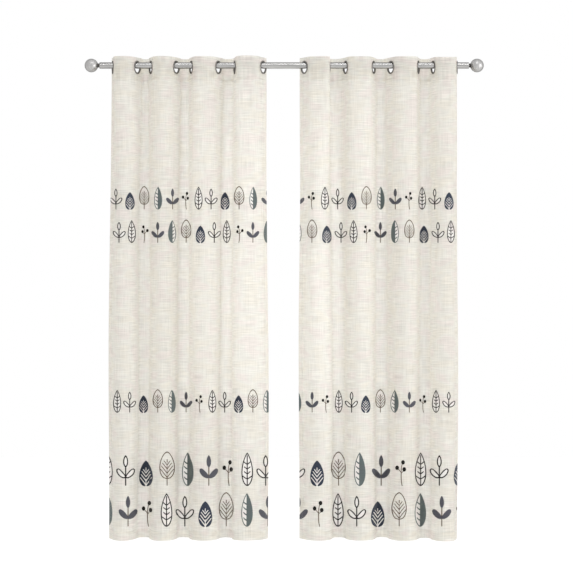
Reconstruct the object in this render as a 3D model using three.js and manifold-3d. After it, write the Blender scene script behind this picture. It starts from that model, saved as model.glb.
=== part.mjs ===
// A pair of eyelet curtains hanging on a rod with ball finials.
//
// The frame is the rod's. The origin is on the rod's axis, midway along it. +X runs along the rod,
// -Y is the room side and +Z is up. All sizes are in millimetres and all angles in degrees.

import * as THREE from "three";
import { mergeVertices } from "three/addons/utils/BufferGeometryUtils.js";
import Module from "manifold-3d";

const wasm = await Module();
wasm.setup();

const { clamp, degToRad, lerp, smoothstep } = THREE.MathUtils;

// ---------------------------------------------------------------- driving sizes

// The space left between two pieces that touch.
const GAP = 0.3;

const ROD = { radius: 14, halfLength: 818, sides: 32 };

const FINIAL = {
  ballRadius: 30,
  ballCentre: 854,
  neckRadius: 9.3,
  sides: 24,
  arcSteps: 12,
};

// One eyelet ring: a hub through the cloth, with a domed flange on each side of it.
const RING = {
  bore: 23,
  hub: 24.8,
  rim: 29.3,
  domeRadius: 26.2,
  domeHeight: 4,
  boreHeight: 2,
  sides: 20,
  // The rings hang from the top of the rod. A ring turned to the rod also nears it at its sides.
  hangGap: 0.7,
};
const RING_CENTRE_Z = ROD.radius + RING.hangGap - RING.bore;

// Each panel is this cloth, eyelets evenly spaced between two side margins.
const CLOTH = {
  flatWidth: 1321,
  sideMargin: 40,
  eyelets: 8,
  thickness: 1.5,
  topZ: 36,
  hemZ: -2098,
};
const EYELET_SPACING =
  (CLOTH.flatWidth - 2 * CLOTH.sideMargin) / (CLOTH.eyelets - 1);

// The heading is the turned-over and stiffened top of the cloth.
const HEADING = { thickness: 2, height: 100 };
const HEADING_BOTTOM_Z = CLOTH.topZ - HEADING.height;
const PANEL_TOP_Z = HEADING_BOTTOM_Z - GAP;

// How the folds relax below the stiff heading.
const DRAPE = {
  // Half of the flat cloth at a fold line: at the heading, and once the cloth hangs freely.
  stiffFlat: 30,
  freeFlat: 8,
  // The drop over which the cloth goes from the one to the other.
  settleDrop: 700,
  // Fold lines wander a little to each side on their way down.
  wander: 2.5,
  wanderLength: 1500,
  wanderStep: 2.1,
};

// One row for each eyelet, from the left. The cloth crosses the rod's line there, first to the
// front, then to the back, and so on.
//   x, turn        the crossing's place along the rod, and the cloth's angle to the rod
//   hemX, hemY     where the same line of the cloth hangs at the hem
//   freeTurn       its angle to the rod where the cloth hangs freely
const LEFT_FOLDS = [
  { x: -758, turn: 80, hemX: -765, hemY: -4, freeTurn: 74 },
  { x: -652, turn: 64, hemX: -660, hemY: 0, freeTurn: 72 },
  { x: -590, turn: 72, hemX: -592, hemY: -8, freeTurn: 74 },
  { x: -479, turn: 64, hemX: -485, hemY: -6, freeTurn: 72 },
  { x: -411, turn: 73, hemX: -412, hemY: -2, freeTurn: 74 },
  { x: -293, turn: 64, hemX: -297, hemY: -10, freeTurn: 72 },
  { x: -218, turn: 80, hemX: -228, hemY: -12, freeTurn: 76 },
  { x: -94, turn: 62, hemX: -87, hemY: -5, freeTurn: 66 },
];
const RIGHT_FOLDS = [
  { x: 90, turn: 60, hemX: 86, hemY: -4, freeTurn: 66 },
  { x: 198, turn: 97, hemX: 210, hemY: -6, freeTurn: 76 },
  { x: 273, turn: 71, hemX: 279, hemY: -8, freeTurn: 73 },
  { x: 395, turn: 72, hemX: 398, hemY: 0, freeTurn: 74 },
  { x: 473, turn: 62, hemX: 472, hemY: -2, freeTurn: 71 },
  { x: 593, turn: 77, hemX: 584, hemY: -26, freeTurn: 70 },
  { x: 661, turn: 74, hemX: 655, hemY: -34, freeTurn: 70 },
  { x: 764, turn: 84, hemX: 762, hemY: -14, freeTurn: 78 },
];

// Each side's last stretch of cloth, past the outer eyelet, has its own angle to the rod: at the
// heading (turn) and where it hangs freely (freeTurn). The last front fold of each heading also
// stands a little higher or lower than the rest (lastRise).
const PANELS = [
  {
    name: "left",
    folds: LEFT_FOLDS,
    start: { turn: 70, freeTurn: 66 },
    end: { turn: 86, freeTurn: 64 },
    lastRise: 4.5,
  },
  {
    name: "right",
    folds: RIGHT_FOLDS,
    start: { turn: 55, freeTurn: 58 },
    end: { turn: 96, freeTurn: 80 },
    lastRise: -4,
  },
];

// How finely the cloth is divided: steps in each fold, in each flat stretch, and down the drop.
const FOLD_STEPS = 7;
const FLAT_STEPS = 3;
const PANEL_LEVELS = [0, 0.07, 0.15, 0.25, 0.36, 0.5, 0.64, 0.8, 1];
// How finely a fold's line is added up, how many rounds fit it, and the largest change in a round.
const FOLD_SUM_STEPS = 60;
const FIT_ROUNDS = 12;
const FIT_LARGEST_CHANGE = 0.3;

// ---------------------------------------------------------------- materials

const linenLook = new THREE.MeshStandardMaterial({
  color: "#e4dfd7",
  roughness: 0.9,
  side: THREE.DoubleSide,
});
const brushedNickel = new THREE.MeshStandardMaterial({
  color: "#bdb9b4",
  roughness: 0.35,
  metalness: 1,
});
const darkNickel = new THREE.MeshStandardMaterial({
  color: "#8c8882",
  roughness: 0.3,
  metalness: 1,
});

// ---------------------------------------------------------------- the cloth's line from above

// How far the cloth has relaxed at a height, from 0 in the heading to 1 where it hangs freely.
function freedom(z) {
  return smoothstep(HEADING_BOTTOM_Z - z, 0, DRAPE.settleDrop);
}

// The place and angle of every fold line of a panel at one height. Angles run from +X towards +Y,
// so they are negative where the cloth goes to the front.
function foldLines(panel, z) {
  const free = freedom(z);
  const drop = Math.max(0, HEADING_BOTTOM_Z - z);
  const lowered = drop / (HEADING_BOTTOM_Z - CLOTH.hemZ);
  return panel.folds.map((fold, i) => {
    const phase =
      (2 * Math.PI * drop) / DRAPE.wanderLength + i * DRAPE.wanderStep;
    return {
      x: lerp(fold.x, fold.hemX, lowered) + DRAPE.wander * free * Math.sin(phase),
      y: fold.hemY * lowered,
      angle: degToRad(lerp(fold.turn, fold.freeTurn, free)) * (i % 2 ? 1 : -1),
      flat: lerp(DRAPE.stiffFlat, DRAPE.freeFlat, free),
    };
  });
}

// A straight stretch of cloth.
function straight(length, angle) {
  return { length, steps: 1, angleAt: () => angle };
}

// The cloth from one fold line to the next. Its angle swings over evenly, with two swells added:
// one pinches or opens the fold, and one leans it. Newton's method finds the two that make a piece
// of this length reach the next line.
function foldBetween(line, next, length) {
  const reach = {
    x: next.x - line.x - line.flat * Math.cos(line.angle) - next.flat * Math.cos(next.angle),
    y: next.y - line.y - line.flat * Math.sin(line.angle) - next.flat * Math.sin(next.angle),
  };
  let pinch = 0;
  let lean = 0;
  const angleAt = (u) =>
    lerp(line.angle, next.angle, u) +
    pinch * Math.sin(2 * Math.PI * u) +
    lean * Math.sin(Math.PI * u);
  const step = length / FOLD_SUM_STEPS;
  for (let round = 0; round < FIT_ROUNDS; round++) {
    const sum = { x: 0, y: 0, xByPinch: 0, yByPinch: 0, xByLean: 0, yByLean: 0 };
    for (let k = 0; k < FOLD_SUM_STEPS; k++) {
      const u = (k + 0.5) / FOLD_SUM_STEPS;
      const along = step * Math.cos(angleAt(u));
      const across = step * Math.sin(angleAt(u));
      sum.x += along;
      sum.y += across;
      sum.xByPinch -= across * Math.sin(2 * Math.PI * u);
      sum.yByPinch += along * Math.sin(2 * Math.PI * u);
      sum.xByLean -= across * Math.sin(Math.PI * u);
      sum.yByLean += along * Math.sin(Math.PI * u);
    }
    const missX = reach.x - sum.x;
    const missY = reach.y - sum.y;
    const det = sum.xByPinch * sum.yByLean - sum.xByLean * sum.yByPinch;
    const change = (value) => clamp(value, -FIT_LARGEST_CHANGE, FIT_LARGEST_CHANGE);
    pinch += change((missX * sum.yByLean - missY * sum.xByLean) / det);
    lean += change((missY * sum.xByPinch - missX * sum.yByPinch) / det);
  }
  return { length, steps: FOLD_SUM_STEPS, angleAt };
}

// A panel's cloth from side to side at one height, as stretches that add up to its flat width.
function clothStretches(panel, z) {
  const lines = foldLines(panel, z);
  const free = freedom(z);
  const first = lines[0];
  const last = lines.at(-1);
  const startAngle = -degToRad(lerp(panel.start.turn, panel.start.freeTurn, free));
  const endAngle = degToRad(lerp(panel.end.turn, panel.end.freeTurn, free));
  const stretches = [straight(CLOTH.sideMargin - first.flat, startAngle)];
  lines.forEach((line, i) => {
    stretches.push(straight(2 * line.flat, line.angle));
    const next = lines[i + 1];
    if (next)
      stretches.push(foldBetween(line, next, EYELET_SPACING - line.flat - next.flat));
  });
  stretches.push(straight(CLOTH.sideMargin - last.flat, endAngle));
  const hemLength = CLOTH.sideMargin - first.flat;
  const start = {
    x: first.x - first.flat * Math.cos(first.angle) - hemLength * Math.cos(startAngle),
    y: first.y - first.flat * Math.sin(first.angle) - hemLength * Math.sin(startAngle),
  };
  return { start, stretches };
}

// The points of that line, closely spaced, each with its place along the flat cloth.
function clothLine(panel, z) {
  const { start, stretches } = clothStretches(panel, z);
  const points = [{ place: 0, x: start.x, y: start.y, angle: stretches[0].angleAt(0) }];
  for (const { length, steps, angleAt } of stretches) {
    for (let k = 0; k < steps; k++) {
      const { place, x, y } = points.at(-1);
      const step = length / steps;
      const angle = angleAt((k + 0.5) / steps);
      points.push({
        place: place + step,
        x: x + step * Math.cos(angle),
        y: y + step * Math.sin(angle),
        angle: angleAt((k + 1) / steps),
      });
    }
  }
  return points;
}

// The point of a line of cloth at one place along the flat cloth.
function pointOn(line, place) {
  const after = Math.max(1, line.findIndex((point) => point.place >= place - 1e-6));
  const a = line[after - 1];
  const b = line[after];
  const share = (place - a.place) / (b.place - a.place);
  return {
    x: lerp(a.x, b.x, share),
    y: lerp(a.y, b.y, share),
    angle: lerp(a.angle, b.angle, share),
  };
}

// Places along the flat cloth at which a sheet has its vertical lines.
function stations(flatSteps) {
  const places = [0];
  for (let i = 0; i < CLOTH.eyelets; i++) {
    const eyelet = CLOTH.sideMargin + i * EYELET_SPACING;
    for (let k = 0; k <= flatSteps; k++)
      places.push(eyelet + DRAPE.stiffFlat * ((2 * k) / flatSteps - 1));
    const foldLength = EYELET_SPACING - 2 * DRAPE.stiffFlat;
    if (i < CLOTH.eyelets - 1)
      for (let k = 1; k < FOLD_STEPS; k++)
        places.push(eyelet + DRAPE.stiffFlat + (foldLength * k) / FOLD_STEPS);
  }
  places.push(CLOTH.flatWidth);
  return places;
}

// How far the top edge rises above its level at a place: only over the last front fold.
function topRise(panel, place) {
  const foldStart = CLOTH.flatWidth - CLOTH.sideMargin - EYELET_SPACING;
  const share = (place - foldStart) / EYELET_SPACING;
  return share > 0 && share < 1
    ? panel.lastRise * Math.sin(Math.PI * share) ** 2
    : 0;
}

// ---------------------------------------------------------------- sheets

// The front and back points of a sheet of cloth across one height.
function sheetRow(panel, z, places, thickness) {
  const line = clothLine(panel, z);
  return places.map((place) => {
    const { x, y, angle } = pointOn(line, place);
    const offsetX = (Math.sin(angle) * thickness) / 2;
    const offsetY = (Math.cos(angle) * thickness) / 2;
    return {
      front: [x + offsetX, y - offsetY, z],
      back: [x - offsetX, y + offsetY, z],
    };
  });
}

// A closed sheet through rows of points, the highest row first.
function sheetGeometry(rows) {
  const columns = rows[0].length;
  const positions = [];
  for (const row of rows)
    for (const { front, back } of row) positions.push(...front, ...back);
  const front = (row, column) => 2 * (row * columns + column);
  const back = (row, column) => front(row, column) + 1;
  const index = [];
  const quad = (a, b, c, d) => index.push(a, b, c, a, c, d);
  const lastRow = rows.length - 1;
  const lastColumn = columns - 1;
  for (let r = 0; r < lastRow; r++) {
    for (let c = 0; c < lastColumn; c++) {
      quad(front(r, c), front(r + 1, c), front(r + 1, c + 1), front(r, c + 1));
      quad(back(r, c), back(r, c + 1), back(r + 1, c + 1), back(r + 1, c));
    }
    quad(back(r, 0), back(r + 1, 0), front(r + 1, 0), front(r, 0));
    quad(
      front(r, lastColumn),
      front(r + 1, lastColumn),
      back(r + 1, lastColumn),
      back(r, lastColumn),
    );
  }
  for (let c = 0; c < lastColumn; c++) {
    quad(front(0, c), front(0, c + 1), back(0, c + 1), back(0, c));
    quad(
      front(lastRow, c),
      back(lastRow, c),
      back(lastRow, c + 1),
      front(lastRow, c + 1),
    );
  }
  const geometry = new THREE.BufferGeometry();
  geometry.setAttribute(
    "position",
    new THREE.Float32BufferAttribute(positions, 3),
  );
  geometry.setIndex(index);
  return geometry;
}

// ---------------------------------------------------------------- booleans

function solidOf(geometry) {
  const bare = geometry.clone();
  bare.deleteAttribute("normal");
  bare.deleteAttribute("uv");
  const merged = mergeVertices(bare, 1e-3);
  return new wasm.Manifold(
    new wasm.Mesh({
      numProp: 3,
      vertProperties: merged.attributes.position.array,
      triVerts: new Uint32Array(merged.index.array),
    }),
  );
}

function geometryOf(solid) {
  const mesh = solid.getMesh();
  const geometry = new THREE.BufferGeometry();
  geometry.setAttribute(
    "position",
    new THREE.Float32BufferAttribute(mesh.vertProperties, 3),
  );
  geometry.setIndex(new THREE.BufferAttribute(mesh.triVerts, 1));
  return geometry;
}

// ---------------------------------------------------------------- pieces

const curtains = new THREE.Group();

function addPiece(name, geometry, material) {
  geometry.computeVertexNormals();
  const mesh = new THREE.Mesh(geometry, material);
  mesh.name = name;
  curtains.add(mesh);
  return mesh;
}

// Where a ring sits: its centre on the cloth, and a turn that lays its axis square to the cloth.
function eyeletSeats(panel) {
  return foldLines(panel, RING_CENTRE_Z).map((line) => ({
    position: new THREE.Vector3(line.x, line.y, RING_CENTRE_Z),
    rotation: line.angle,
  }));
}

function addRod() {
  // Half a side's turn sets one flat side facing straight down, for the brackets.
  const geometry = new THREE.CylinderGeometry(
    ROD.radius,
    ROD.radius,
    2 * ROD.halfLength,
    ROD.sides,
    1,
    false,
    Math.PI / ROD.sides,
  );
  const rod = addPiece("rod", geometry, brushedNickel);
  rod.rotation.z = -Math.PI / 2;
}

// The ball has a flat where its neck meets it.
function ballProfile() {
  const flatAngle = Math.asin(FINIAL.neckRadius / FINIAL.ballRadius);
  const points = [
    new THREE.Vector2(0, -FINIAL.ballRadius * Math.cos(flatAngle)),
  ];
  for (let i = 0; i <= FINIAL.arcSteps; i++) {
    const angle = lerp(flatAngle, Math.PI, i / FINIAL.arcSteps);
    points.push(
      new THREE.Vector2(
        i < FINIAL.arcSteps ? FINIAL.ballRadius * Math.sin(angle) : 0,
        -FINIAL.ballRadius * Math.cos(angle),
      ),
    );
  }
  return points;
}

function addFinial(side, direction) {
  const flatAngle = Math.asin(FINIAL.neckRadius / FINIAL.ballRadius);
  const ballFlat = FINIAL.ballCentre - FINIAL.ballRadius * Math.cos(flatAngle);
  const neckLength = ballFlat - ROD.halfLength - 2 * GAP;
  const neck = addPiece(
    side + "_neck",
    new THREE.CylinderGeometry(
      FINIAL.neckRadius,
      FINIAL.neckRadius,
      neckLength,
      FINIAL.sides,
    ),
    darkNickel,
  );
  const ball = addPiece(
    side + "_ball",
    new THREE.LatheGeometry(ballProfile(), FINIAL.sides),
    brushedNickel,
  );
  neck.position.x = direction * (ROD.halfLength + GAP + neckLength / 2);
  ball.position.x = direction * FINIAL.ballCentre;
  neck.rotation.z = (-direction * Math.PI) / 2;
  ball.rotation.z = (-direction * Math.PI) / 2;
}

// The ring's section, out from the bore over the back flange, in to the hub and out again.
function ringProfile() {
  const slot = HEADING.thickness / 2 + GAP;
  const backHalf = [
    [RING.bore, -RING.boreHeight],
    [RING.domeRadius, -RING.domeHeight],
    [RING.rim, -slot],
    [RING.hub, -slot],
  ];
  const frontHalf = backHalf.map(([r, h]) => [r, -h]).reverse();
  const corners = [...backHalf, ...frontHalf, backHalf[0]];
  return corners.map(([r, h]) => new THREE.Vector2(r, h));
}

function addRings(panel) {
  eyeletSeats(panel).forEach((seat, i) => {
    const ring = addPiece(
      `${panel.name}_eyelet_${i + 1}`,
      new THREE.LatheGeometry(ringProfile(), RING.sides),
      darkNickel,
    );
    ring.position.copy(seat.position);
    ring.rotation.z = seat.rotation;
  });
}

// The heading is a straight sheet from its lower edge to the top, punched at every eyelet. The
// punch goes well through the cloth, and stops short of the next fold.
const PUNCH_LENGTH = 20;

function addHeading(panel) {
  const places = stations(1);
  const rows = [CLOTH.topZ, HEADING_BOTTOM_Z].map((z) =>
    sheetRow(panel, z, places, HEADING.thickness),
  );
  rows[0].forEach(({ front, back }, i) => {
    front[2] += topRise(panel, places[i]);
    back[2] += topRise(panel, places[i]);
  });
  let solid = solidOf(sheetGeometry(rows));
  for (const seat of eyeletSeats(panel)) {
    const punch = new THREE.CylinderGeometry(
      RING.hub + GAP,
      RING.hub + GAP,
      PUNCH_LENGTH,
      RING.sides,
    );
    punch.rotateZ(seat.rotation);
    punch.translate(seat.position.x, seat.position.y, seat.position.z);
    solid = solid.subtract(solidOf(punch));
  }
  addPiece(panel.name + "_heading", geometryOf(solid), linenLook);
}

function addPanel(panel) {
  const places = stations(FLAT_STEPS);
  const rows = PANEL_LEVELS.map((level) =>
    sheetRow(
      panel,
      lerp(PANEL_TOP_Z, CLOTH.hemZ, level),
      places,
      CLOTH.thickness,
    ),
  );
  addPiece(panel.name + "_panel", sheetGeometry(rows), linenLook);
}

addRod();
addFinial("left", -1);
addFinial("right", 1);
for (const panel of PANELS) {
  addHeading(panel);
  addPanel(panel);
  addRings(panel);
}

export default curtains;
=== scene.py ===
"""The looks of a pair of sheer eyelet curtains on a curtain rod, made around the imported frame.

The frame is the rod's. The origin is on the rod's axis, midway along it. +X runs along the rod,
-Y is the room side and +Z is up. Sizes are written in millimetres, and meshes are made in metres.
"""

import math

import bpy
import numpy as np
from mathutils.geometry import delaunay_2d_cdt
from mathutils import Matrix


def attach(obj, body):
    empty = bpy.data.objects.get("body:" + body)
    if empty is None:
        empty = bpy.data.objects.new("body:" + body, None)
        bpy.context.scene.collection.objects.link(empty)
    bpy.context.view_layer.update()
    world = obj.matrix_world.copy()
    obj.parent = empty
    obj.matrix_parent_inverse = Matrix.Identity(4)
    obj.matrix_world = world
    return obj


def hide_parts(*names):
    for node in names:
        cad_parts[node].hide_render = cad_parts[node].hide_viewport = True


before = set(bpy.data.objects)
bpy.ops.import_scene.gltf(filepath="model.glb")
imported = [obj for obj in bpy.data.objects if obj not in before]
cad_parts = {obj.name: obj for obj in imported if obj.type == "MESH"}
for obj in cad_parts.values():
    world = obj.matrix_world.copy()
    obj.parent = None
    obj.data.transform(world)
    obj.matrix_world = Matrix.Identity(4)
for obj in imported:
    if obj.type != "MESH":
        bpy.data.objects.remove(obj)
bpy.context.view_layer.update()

MM = 0.001

# ------------------------ camera

# Straight in front of the curtains, far enough away to see them almost flat.
CAMERA_PLACE = (10.2, -9500, -979)
CAMERA_LENS = 134.73

camera = bpy.data.objects.new("camera", bpy.data.cameras.new("camera"))
camera.location = [MM * value for value in CAMERA_PLACE]
camera.rotation_euler = (math.radians(90), 0, 0)
camera.data.lens = CAMERA_LENS
camera.data.clip_end = 100
bpy.context.collection.objects.link(camera)
bpy.context.scene.camera = camera

# ------------------------ sizes of the pieces

ROD = {"radius": 14, "half_length": 818, "edge": 1.2, "sides": 96}
# Rings of the rod's mesh: their distance from the rounded edge on its end and on its side, then
# where the evenly spaced ones start and how many they are.
ROD_RINGS = {"on_end": 3, "on_side": 4, "start": 50, "count": 15}

FINIAL = {
    "ball_radius": 30,
    "ball_centre": 854,
    "neck_radius": 9.3,
    "neck_waist": 8.4,
    "gap": 0.3,
    "sides": 96,
    "ball_rings": 49,
}
# The rounded lip of a neck: distance from its end, and how far inside the lip's radius.
NECK_LIP = [(0, 0.5), (0.3, 0.15), (0.7, 0)]

RING = {
    "bore": 23,
    "hub": 24.8,
    "rim": 29.3,
    "dome_radius": 26.2,
    "dome_height": 4,
    "bore_height": 2,
    "slot": 1.3,
    "rim_height": 1.7,
    "rim_round": 0.3,
    "flange_points": 13,
    "hang_gap": 0.7,
    "hole_gap": 0.3,
    "sides": 72,
}
RING_CENTRE_Z = ROD["radius"] + RING["hang_gap"] - RING["bore"]

CLOTH = {
    "flat_width": 1321,
    "side_margin": 40,
    "eyelets": 8,
    "top_z": 36,
    "hem_z": -2098,
    "heading_height": 100,
}
EYELET_SPACING = (CLOTH["flat_width"] - 2 * CLOTH["side_margin"]) / (CLOTH["eyelets"] - 1)
HEADING_BOTTOM_Z = CLOTH["top_z"] - CLOTH["heading_height"]

# How the folds relax below the stiff heading.
DRAPE = {
    "stiff_flat": 30,
    "free_flat": 8,
    "settle_drop": 700,
    "wander": 2.5,
    "wander_length": 1500,
    "wander_step": 2.1,
}

# One row for each eyelet, from the left: the crossing's x on the rod and the cloth's turn there,
# then x and y of the same line of the cloth at the hem, and its turn where the cloth hangs freely.
LEFT_FOLDS = [
    (-758, 80, -765, -4, 74),
    (-652, 64, -660, 0, 72),
    (-590, 72, -592, -8, 74),
    (-479, 64, -485, -6, 72),
    (-411, 73, -412, -2, 74),
    (-293, 64, -297, -10, 72),
    (-218, 80, -228, -12, 76),
    (-94, 62, -87, -5, 66),
]
RIGHT_FOLDS = [
    (90, 60, 86, -4, 66),
    (198, 97, 210, -6, 76),
    (273, 71, 279, -8, 73),
    (395, 72, 398, 0, 74),
    (473, 62, 472, -2, 71),
    (593, 77, 584, -26, 70),
    (661, 74, 655, -34, 70),
    (764, 84, 762, -14, 78),
]

# Each curtain's first and last stretch of cloth has its own turn, at the heading and where it
# hangs freely. The last front fold of each heading stands a little higher or lower.
# The print of each curtain starts at its own place, and is stretched a little along the rod.
CURTAINS = [
    {
        "side": "left",
        "folds": np.array(LEFT_FOLDS, float),
        "start": (70, 66),
        "end": (86, 64),
        "last_rise": 4.5,
        "print_start": -745,
        "print_stretch": 0.99,
    },
    {
        "side": "right",
        "folds": np.array(RIGHT_FOLDS, float),
        "start": (55, 58),
        "end": (96, 80),
        "last_rise": -4,
        "print_start": -624.6,
        "print_stretch": 1.0125,
    },
]

# ------------------------ small helpers


def srgb(hex_colour):
    """A written colour as the linear colour that the shaders take."""
    channels = [int(hex_colour[i : i + 2], 16) / 255 for i in (1, 3, 5)]
    linear = [c / 12.92 if c <= 0.04045 else ((c + 0.055) / 1.055) ** 2.4 for c in channels]
    return (*linear, 1.0)


def add_node(tree, kind, inputs=None, **settings):
    """Adds a node with its settings. An input takes a value, or the socket that feeds it."""
    node = tree.nodes.new(kind)
    for name, value in settings.items():
        setattr(node, name, value)
    for name, value in (inputs or {}).items():
        socket = node.inputs[name]
        if isinstance(value, bpy.types.NodeSocket):
            tree.links.new(value, socket)
        else:
            socket.default_value = value
    return node


def output_of(tree, kind, inputs=None, **settings):
    """Adds a node, and returns its first output."""
    return add_node(tree, kind, inputs, **settings).outputs[0]


def remap(tree, value, low, high, start=0, end=1):
    """A value's span from start to end, mapped onto the span from low to high."""
    span = {"From Min": start, "From Max": end, "To Min": low, "To Max": high}
    return output_of(tree, "ShaderNodeMapRange", {"Value": value, **span})


def noise(tree, place, per_metre, detail, roughness=0.5):
    """Noise that changes about as often per metre along each axis as per_metre says."""
    at = output_of(tree, "ShaderNodeMapping", {"Vector": place, "Scale": per_metre})
    grain = {"Vector": at, "Scale": 1, "Detail": detail, "Roughness": roughness}
    return output_of(tree, "ShaderNodeTexNoise", grain)


def new_material(name):
    """An empty material and its node tree."""
    material = bpy.data.materials.new(name)
    material.use_nodes = True
    material.node_tree.nodes.clear()
    return material, material.node_tree


def ease(value, start, end):
    """Goes smoothly from 0 at start to 1 at end."""
    share = np.clip((value - start) / (end - start), 0, 1)
    return share * share * (3 - 2 * share)


def unit(vectors):
    """The vectors' directions, at length 1."""
    return vectors / np.linalg.norm(vectors, axis=-1, keepdims=True)


def add_piece(name, points, faces, materials):
    """Makes a smooth mesh object from points in millimetres."""
    mesh = bpy.data.meshes.new(name)
    mesh.from_pydata((np.asarray(points) * MM).tolist(), [], faces)
    for material in materials:
        mesh.materials.append(material)
    mesh.polygons.foreach_set("use_smooth", [True] * len(mesh.polygons))
    piece = bpy.data.objects.new(name, mesh)
    bpy.context.collection.objects.link(piece)
    return piece


# ------------------------ how the cloth hangs

FOLD_STEPS = 60
FIT_ROUNDS = 12
FIT_LARGEST_CHANGE = 0.3


def freedom(z):
    """0 in the stiff heading, and 1 where the folds have settled below it."""
    return ease(HEADING_BOTTOM_Z - z, 0, DRAPE["settle_drop"])


def fold_lines(curtain, z):
    """The place and angle of each eyelet's line of cloth at a height. Angles run from +X
    towards +Y, so they are negative where the cloth goes to the front."""
    free = freedom(z)
    drop = max(0, HEADING_BOTTOM_Z - z)
    lowered = drop / (HEADING_BOTTOM_Z - CLOTH["hem_z"])
    x, turn, hem_x, hem_y, free_turn = curtain["folds"].T
    number = np.arange(len(x))
    phase = 2 * math.pi * drop / DRAPE["wander_length"] + number * DRAPE["wander_step"]
    line_x = x + (hem_x - x) * lowered + DRAPE["wander"] * free * np.sin(phase)
    towards = np.where(number % 2, 1, -1)
    angle = np.radians(turn + (free_turn - turn) * free) * towards
    flat = DRAPE["stiff_flat"] + (DRAPE["free_flat"] - DRAPE["stiff_flat"]) * free
    return line_x, hem_y * lowered, angle, flat


def fold_angles(lines, angle, flat, length):
    """The cloth's angle along each fold between two lines. It swings over evenly, with two
    swells added that pinch and lean the fold until it reaches the next line."""
    ends = flat * np.stack([np.cos(angle), np.sin(angle)])
    reach = np.diff(lines) - ends[:, :-1] - ends[:, 1:]
    u = (np.arange(FOLD_STEPS) + 0.5) / FOLD_STEPS
    swing = angle[:-1, None] * (1 - u) + angle[1:, None] * u
    swells = np.stack([np.sin(2 * math.pi * u), np.sin(math.pi * u)])
    amounts = np.zeros((len(swing), 2))
    for _ in range(FIT_ROUNDS):
        angles = swing + amounts @ swells
        x_steps, y_steps = length / FOLD_STEPS * np.stack([np.cos(angles), np.sin(angles)])
        miss = reach - [x_steps.sum(1), y_steps.sum(1)]
        # How far the fold's end moves in x and y for each swell.
        gain = np.stack([-y_steps @ swells.T, x_steps @ swells.T], axis=1)
        change = np.linalg.solve(gain, miss.T[..., None])[..., 0]
        amounts += np.clip(change, -FIT_LARGEST_CHANGE, FIT_LARGEST_CHANGE)
    return swing + amounts @ swells


def cloth_line(curtain, z, places):
    """The cloth's line from above at one height: x and y at places along the flat cloth."""
    x, y, angle, flat = fold_lines(curtain, z)
    free = freedom(z)
    start_turn, start_free = curtain["start"]
    end_turn, end_free = curtain["end"]
    start_angle = -math.radians(start_turn + (start_free - start_turn) * free)
    end_angle = math.radians(end_turn + (end_free - end_turn) * free)
    side = CLOTH["side_margin"] - flat
    fold_length = EYELET_SPACING - 2 * flat
    folds = fold_angles(np.stack([x, y]), angle, flat, fold_length)

    # The cloth from one side edge to the other, as short straight stretches: (length, angle).
    stretches = [(side, start_angle)]
    for line_angle, fold in zip(angle, [*folds, []]):
        stretches.append((2 * flat, line_angle))
        stretches += [(fold_length / FOLD_STEPS, fold_angle) for fold_angle in fold]
    stretches.append((side, end_angle))
    lengths, angles = np.transpose(stretches)
    start_x = x[0] - flat * math.cos(angle[0]) - side * math.cos(start_angle)
    start_y = y[0] - flat * math.sin(angle[0]) - side * math.sin(start_angle)
    at = np.concatenate([[0], np.cumsum(lengths)])
    line_x = start_x + np.concatenate([[0], np.cumsum(lengths * np.cos(angles))])
    line_y = start_y + np.concatenate([[0], np.cumsum(lengths * np.sin(angles))])
    return np.interp(places, at, line_x), np.interp(places, at, line_y)


# Soft small waves in the hanging cloth: (distance apart, sway down the drop, phase).
RIPPLES = [(47, 310, 0.4), (61, 520, 2.2), (83, 270, 4.1), (118, 690, 1.3), (171, 430, 5.2)]
RIPPLE_HEIGHT = 0.36
RIPPLE_SWAY = 1.4


def ripple(place, z):
    """How far the cloth stands out from its smooth fold, with none in the stiff heading."""
    height = 0
    for apart, sway, phase in RIPPLES:
        wave = 2 * math.pi * place / apart + phase
        height = height + np.sin(wave + RIPPLE_SWAY * np.sin(z / sway + phase))
    return RIPPLE_HEIGHT * freedom(z) * height


def top_rise(curtain, place, z):
    """How far the heading is drawn up: only over the last front fold, most at the top edge."""
    fold_start = CLOTH["flat_width"] - CLOTH["side_margin"] - EYELET_SPACING
    share = np.clip((place - fold_start) / EYELET_SPACING, 0, 1)
    height = np.clip((z - HEADING_BOTTOM_Z) / CLOTH["heading_height"], 0, 1)
    return curtain["last_rise"] * np.sin(math.pi * share) ** 2 * height


# Where the curtains are looked at from.
VIEW_X = CAMERA_PLACE[0]
VIEW_DISTANCE = -CAMERA_PLACE[1]
VIEW_HEIGHT = CAMERA_PLACE[2]

# The hung cloth is worked out on this close grid, and read between its points.
GRID_PLACES = np.linspace(0, CLOTH["flat_width"], 661)
GRID_LEVELS = np.linspace(CLOTH["top_z"], CLOTH["hem_z"], 215)


def hang(curtain):
    """The hung cloth's middle surface on the grid: its points and normals, with its depth and
    the x at which it shows from the front, both without the small ripples."""
    rows = [cloth_line(curtain, z, GRID_PLACES) for z in GRID_LEVELS]
    place, z = np.meshgrid(GRID_PLACES, GRID_LEVELS)
    x = np.array([row[0] for row in rows])
    y = np.array([row[1] for row in rows])
    points = np.stack([x, y, z + top_rise(curtain, place, z)], axis=-1)
    points += surface_normals(points) * ripple(place, z)[..., None]
    seen_x = VIEW_X + (x - VIEW_X) * VIEW_DISTANCE / (VIEW_DISTANCE + y)
    return {"points": points, "normals": surface_normals(points), "plain_y": y, "seen_x": seen_x}


def surface_normals(points):
    """Unit normals of a grid of points, towards the room."""
    across = np.gradient(points, axis=1)
    down = np.gradient(points, axis=0)
    return unit(np.cross(down, across))


def read_cloth(hung, place, z):
    """The hung cloth's points and unit normals at places and heights on the flat cloth."""
    return read_grid(hung["points"], place, z), unit(read_grid(hung["normals"], place, z))


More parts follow.
